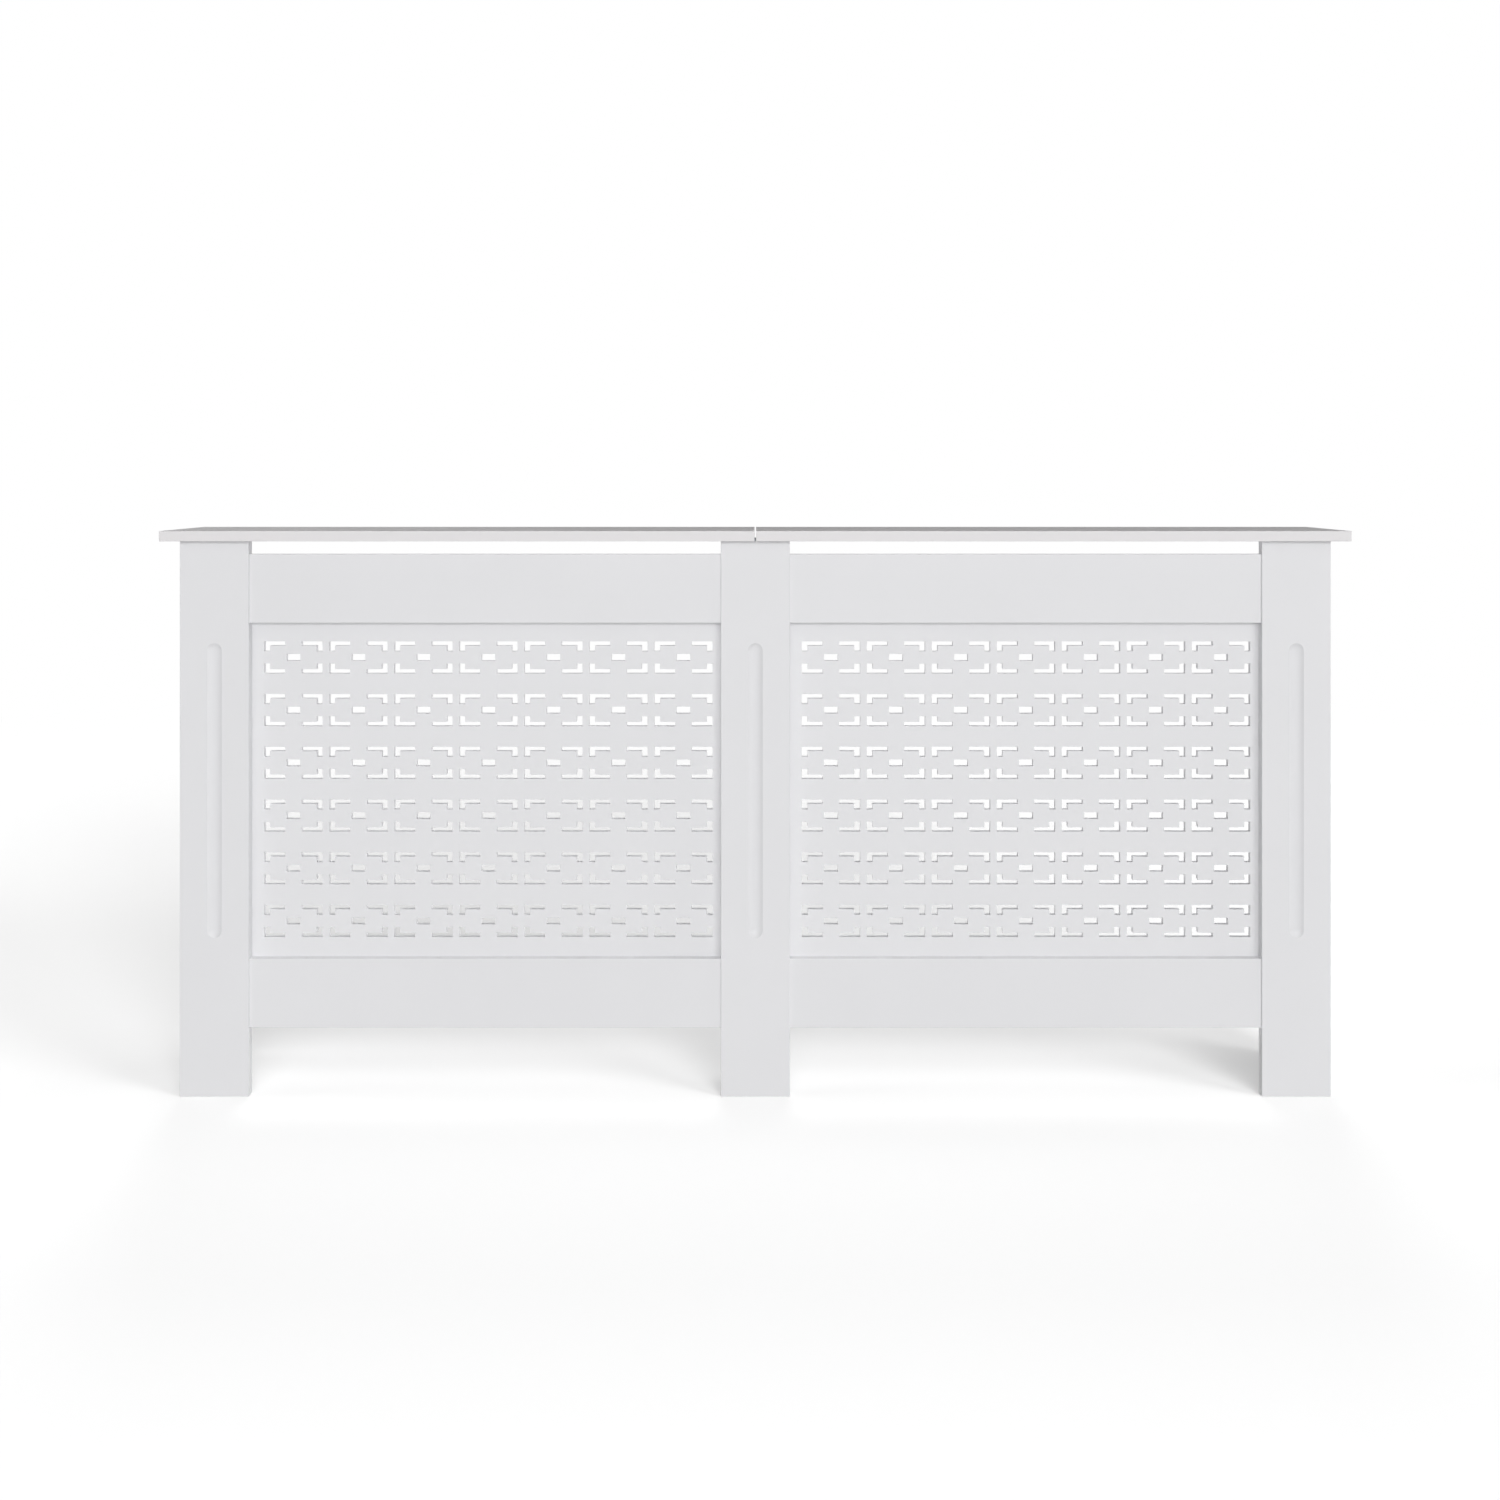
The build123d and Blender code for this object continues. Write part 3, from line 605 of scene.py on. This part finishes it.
def sink_screw_seats(board, lowest, highest):
    """Cuts the seats of the board's screws out of its back."""
    cutters = [
        add_seat_cutter(x, z, highest.y, lowest.y) for x, z in screw_places(lowest, highest)
    ]
    bpy.ops.object.select_all(action="DESELECT")
    for cutter in cutters:
        cutter.select_set(True)
    bpy.context.view_layer.objects.active = cutters[0]
    bpy.ops.object.join()
    drill = bpy.context.object
    bpy.ops.object.select_all(action="DESELECT")
    board.select_set(True)
    bpy.context.view_layer.objects.active = board
    apply_modifier(board, "BOOLEAN", object=drill, operation="DIFFERENCE", solver="EXACT")
    bpy.data.objects.remove(drill)


def add_grille_board(node, name):
    """One grille board in the place of its CAD node, with its cut edges rubbed soft."""
    lowest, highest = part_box(node)
    middle = (lowest + highest) / 2
    board = add_pattern_cell()
    board.name = name
    repeat_cell(board, Vector((middle.x, lowest.y, middle.z)))
    for axis in (0, 2):
        grow_margin(board, axis, -1, lowest[axis])
        grow_margin(board, axis, 1, highest[axis])
    thickness = highest.y - lowest.y
    bpy.ops.object.mode_set(mode="EDIT")
    bpy.ops.mesh.select_all(action="SELECT")
    bpy.ops.mesh.extrude_region_move(TRANSFORM_OT_translate={"value": (0, thickness, 0)})
    bpy.ops.mesh.select_all(action="SELECT")
    bpy.ops.mesh.normals_make_consistent(inside=False)
    bpy.ops.mesh.select_mode(type="EDGE")
    bpy.ops.mesh.select_all(action="DESELECT")
    bpy.ops.mesh.edges_select_sharp(sharpness=SHARP_ABOVE)
    bpy.ops.mesh.bevel(offset=CUT_ARRIS, segments=CUT_ARRIS_STEPS, affect="EDGES")
    bpy.ops.object.mode_set(mode="OBJECT")
    sink_screw_seats(board, lowest, highest)
    bpy.ops.object.shade_smooth_by_angle(angle=SMOOTH_BELOW)
    apply_modifier(board, "WEIGHTED_NORMAL", keep_sharp=True)
    return board


def add_grille_boards():
    """The left grille board is modelled, and the right one is its copy, one bay along."""
    nodes = {side: f"grille_panel_{side}" for side in SIDES}
    left_board = add_grille_board(nodes["left"], "grille_board_left")
    bay_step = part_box(nodes["right"])[0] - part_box(nodes["left"])[0]
    boards = {
        "left": left_board,
        "right": copy_of(left_board, "grille_board_right", bay_step),
    }
    for side, board in boards.items():
        board.data.materials.append(MATERIALS["painted_grille"])
        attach(board, "root")
        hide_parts(nodes[side])


# ---------------------------------------------------------------------------------------------
# Every carried-over node gets the finish of its slot. Boards and dowels are told apart by the
# axis that they are cut across or turned along.

MATERIALS = {
    "painted_grille": sprayed_mdf("satin_lacquer_on_grille_mdf", "Y", GRILLE_WHITE_WITH_PAINTED_HIGHLIGHT),
    "zinc_cam": die_cast_zinc(),
    "zinc_bolt": bright_zinc(),
    "zinc_screw": bright_zinc(),
    "zinc_plate": pressed_steel(),
}
BOARD_MATERIALS = {
    "top_board": sprayed_mdf("satin_lacquer_on_shelf_mdf", "Z", SHELF_WHITE),
    "end_panel": sprayed_mdf("satin_lacquer_on_end_panel_mdf", "X", FRONT_WHITE),
    "front_post": sprayed_mdf("satin_lacquer_on_front_mdf", "Y", FRONT_WHITE),
}
BOARD_MATERIALS["upper_rail"] = BOARD_MATERIALS["front_post"]
BOARD_MATERIALS["lower_rail"] = BOARD_MATERIALS["front_post"]
DOWEL_MATERIALS = {
    "rail_dowels": beech("turned_beech_grain_along_rail", "X"),
    "end_panel_dowels": beech("turned_beech_grain_to_wall", "Y"),
    "post_head_dowels": beech("turned_beech_grain_upright", "Z"),
}


def finish_for(node, slot):
    """The finish of a CAD node: by its slot, and for wood also by which piece it is."""
    by_piece = {"painted_board": BOARD_MATERIALS, "beech_dowel": DOWEL_MATERIALS}
    if slot not in by_piece:
        return MATERIALS[slot]
    return next(
        material for start, material in by_piece[slot].items() if node.startswith(start)
    )


def dress_nodes():
    """Puts the finishes on the CAD nodes."""
    for subpart in frame["record"]["subparts"]:
        node = frame["nodes"][subpart["node"]]
        node.data.materials.clear()
        node.data.materials.append(finish_for(subpart["node"], subpart["material_slot"]))


add_grille_boards()
dress_nodes()

# ---------------------------------------------------------------------------------------------
# Floor and surroundings. The floor is pale near the cover and runs out into pure white, so that
# it has no edge. It gives no light to the cover itself: the white below the horizon stands for
# it, even and without shadows. Its own colour is a grey under strong lights, so that little of
# the light that the cover throws back shows on it.

FLOOR_RADIUS = 40.0
FLOOR_SIDES = 96
FLOOR_COLOUR = "#959595"
FLOOR_ROUGHNESS = 0.9
FLOOR_GLOW = 0.332
FADE_START = 2.2
FADE_END = 4.5
BELOW_HORIZON = 0.555


def add_floor():
    """A plain pale floor."""
    bpy.ops.mesh.primitive_circle_add(
        vertices=FLOOR_SIDES, radius=FLOOR_RADIUS, fill_type="NGON"
    )
    floor = bpy.context.object
    floor.name = "floor"
    floor.visible_diffuse = False
    floor.visible_glossy = False
    floor.visible_transmission = False
    floor.visible_shadow = False

    material, tree, shader = new_material(
        "pale_studio_floor",
        Base_Color=linear(FLOOR_COLOUR),
        Roughness=FLOOR_ROUGHNESS,
        Specular_IOR_Level=0.0,
        Emission_Color=linear(WHITE),
        Emission_Strength=FLOOR_GLOW,
    )
    place = add_node(tree, "ShaderNodeTexCoord")
    distance = add_node(
        tree, "ShaderNodeVectorMath", {"operation": "LENGTH"}, input_0=place.outputs["Object"]
    )
    fade = add_node(
        tree,
        "ShaderNodeMapRange",
        {"interpolation_type": "SMOOTHSTEP"},
        Value=distance.outputs["Value"],
        From_Min=FADE_START,
        From_Max=FADE_END,
    )
    white = add_node(tree, "ShaderNodeEmission", Color=linear(WHITE), Strength=1.0)
    mix = add_node(
        tree,
        "ShaderNodeMixShader",
        Fac=fade.outputs["Result"],
        input_1=shader.outputs["BSDF"],
        input_2=white.outputs["Emission"],
    )
    output = next(node for node in tree.nodes if node.type == "OUTPUT_MATERIAL")
    tree.links.new(mix.outputs[0], output.inputs["Surface"])
    floor.data.materials.append(material)
    return floor


def add_surroundings():
    """White to the eye all round. The cover is lit by it from below the horizon only."""
    world = bpy.data.worlds.new("studio")
    world.use_nodes = True
    tree = world.node_tree
    tree.nodes.clear()
    direction = add_node(tree, "ShaderNodeTexCoord")
    height = add_node(tree, "ShaderNodeSeparateXYZ", Vector=direction.outputs["Generated"])
    below = add_node(
        tree,
        "ShaderNodeMath",
        {"operation": "LESS_THAN"},
        input_0=height.outputs["Z"],
        input_1=0.0,
    )
    strength = add_node(
        tree,
        "ShaderNodeMath",
        {"operation": "MULTIPLY"},
        input_0=below.outputs["Value"],
        input_1=BELOW_HORIZON,
    )
    path = add_node(tree, "ShaderNodeLightPath")
    lighting = add_node(
        tree, "ShaderNodeBackground", Color=linear(WHITE), Strength=strength.outputs["Value"]
    )
    seen = add_node(tree, "ShaderNodeBackground", Color=linear(WHITE), Strength=1.0)
    mix = add_node(
        tree,
        "ShaderNodeMixShader",
        Fac=path.outputs["Is Camera Ray"],
        input_1=lighting.outputs["Background"],
        input_2=seen.outputs["Background"],
    )
    add_node(tree, "ShaderNodeOutputWorld", Surface=mix.outputs["Shader"])
    bpy.context.scene.world = world


# ---------------------------------------------------------------------------------------------
# Lights: large distant softboxes, one set for the cover and one for the floor, so that the
# floor's shadows can be as faint as a studio's. Each has its direction round the cover, in
# degrees from the front to the right, its height above the floor in degrees, and the light it
# gives a wall that faces it, as a share of white.

SOFTBOX_SPREAD = math.radians(26)
COVER_LIGHTS = {
    "cover_front_low": (0, 16, 0.28),
    "cover_front_high": (0, 55, 0.125),
    "cover_front_left": (-30, 30, 0.09),
    "cover_front_right": (30, 12, 0.205),
    "cover_right": (90, 30, 0.22),
    "cover_right_high": (90, 55, 0.18),
    "cover_back_right": (135, 12, 0.24),
    "cover_back_left": (-160, 30, 0.05),
    "cover_back_below": (180, -25, 0.17),
}
FLOOR_LIGHTS = {
    "floor_front_low": (0, 15, 0.86),
    "floor_front_high": (0, 45, 0.3),
    "floor_front_right": (20, 15, 2.34),
    "floor_right_low": (60, 15, 1.86),
    "floor_right_high": (100, 65, 0.235),
    "floor_left": (-90, 15, 0.83),
    "floor_back": (180, 45, 0.55),
}


def add_softboxes(lights, floor, link_state):
    """Distant soft lights, which light the floor alone or all but the floor."""
    lit = bpy.data.collections.new(f"floor_{link_state.lower()}")
    lit.objects.link(floor)
    lit.collection_objects[0].light_linking.link_state = link_state
    for name, (round_to_right, height, share) in lights.items():
        turn, rise = math.radians(round_to_right), math.radians(height)
        towards = Vector(
            (math.sin(turn) * math.cos(rise), -math.cos(turn) * math.cos(rise), math.sin(rise))
        )
        turned = towards.to_track_quat("Z", "Y").to_euler()
        bpy.ops.object.light_add(type="SUN", rotation=turned)
        light = bpy.context.object
        light.name = name
        light.data.angle = SOFTBOX_SPREAD
        light.data.energy = math.pi * share
        light.light_linking.receiver_collection = lit


studio_floor = add_floor()
add_surroundings()
add_softboxes(COVER_LIGHTS, studio_floor, "EXCLUDE")
add_softboxes(FLOOR_LIGHTS, studio_floor, "INCLUDE")

bpy.context.scene.view_settings.view_transform = "Standard"
